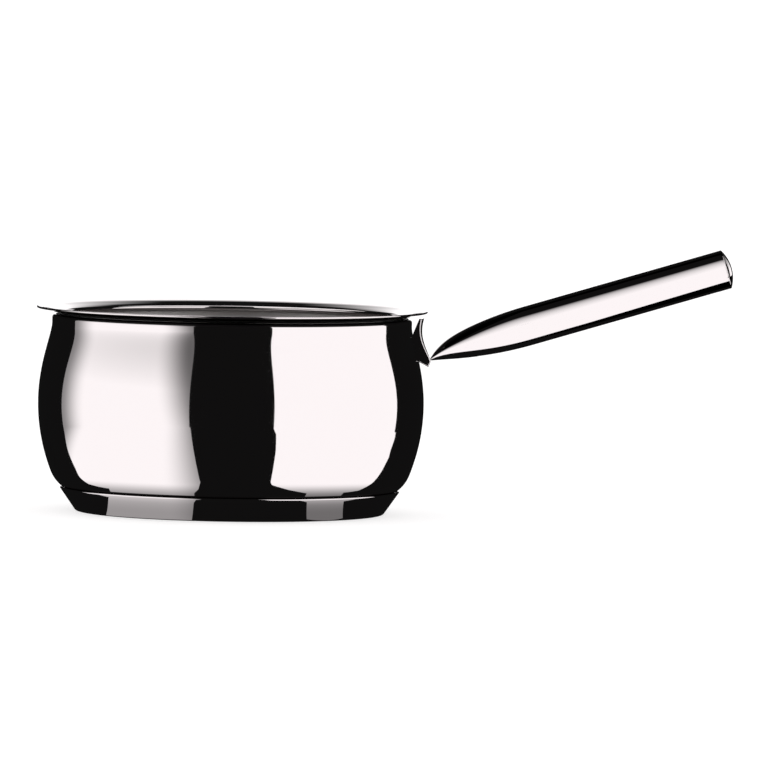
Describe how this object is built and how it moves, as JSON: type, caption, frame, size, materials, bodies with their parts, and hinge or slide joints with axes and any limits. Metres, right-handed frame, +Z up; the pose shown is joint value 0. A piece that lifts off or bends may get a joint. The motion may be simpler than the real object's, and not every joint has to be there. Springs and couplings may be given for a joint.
{
  "type": "saucepan",
  "caption": "Bulging stainless steel saucepan with a flared pouring lip, an encapsulated base and a rising tubular handle pinched flat where it is welded to a bracket under the lip.",
  "frame": {"origin": "centre of the base's flat underside, where the vessel's axis meets the hob", "axes": "+Z up the vessel's axis, +X towards the handle's end, +Y completes the right-handed frame"},
  "size_m": [0.3314, 0.186, 0.1287],
  "materials": {
    "mirror_steel": "mirror-polished 18/10 stainless steel",
    "base_steel": "polished ferritic stainless steel, turned underside",
    "core_aluminium": "plain rolled aluminium, enclosed"
  },
  "bodies": {
    "root": {"pan_body": "mirror_steel", "base_cap": "base_steel", "diffuser_disc": "core_aluminium", "handle_bracket": "mirror_steel", "handle_tube": "mirror_steel", "handle_end_cap": "mirror_steel"}
  },
  "joints": []
}
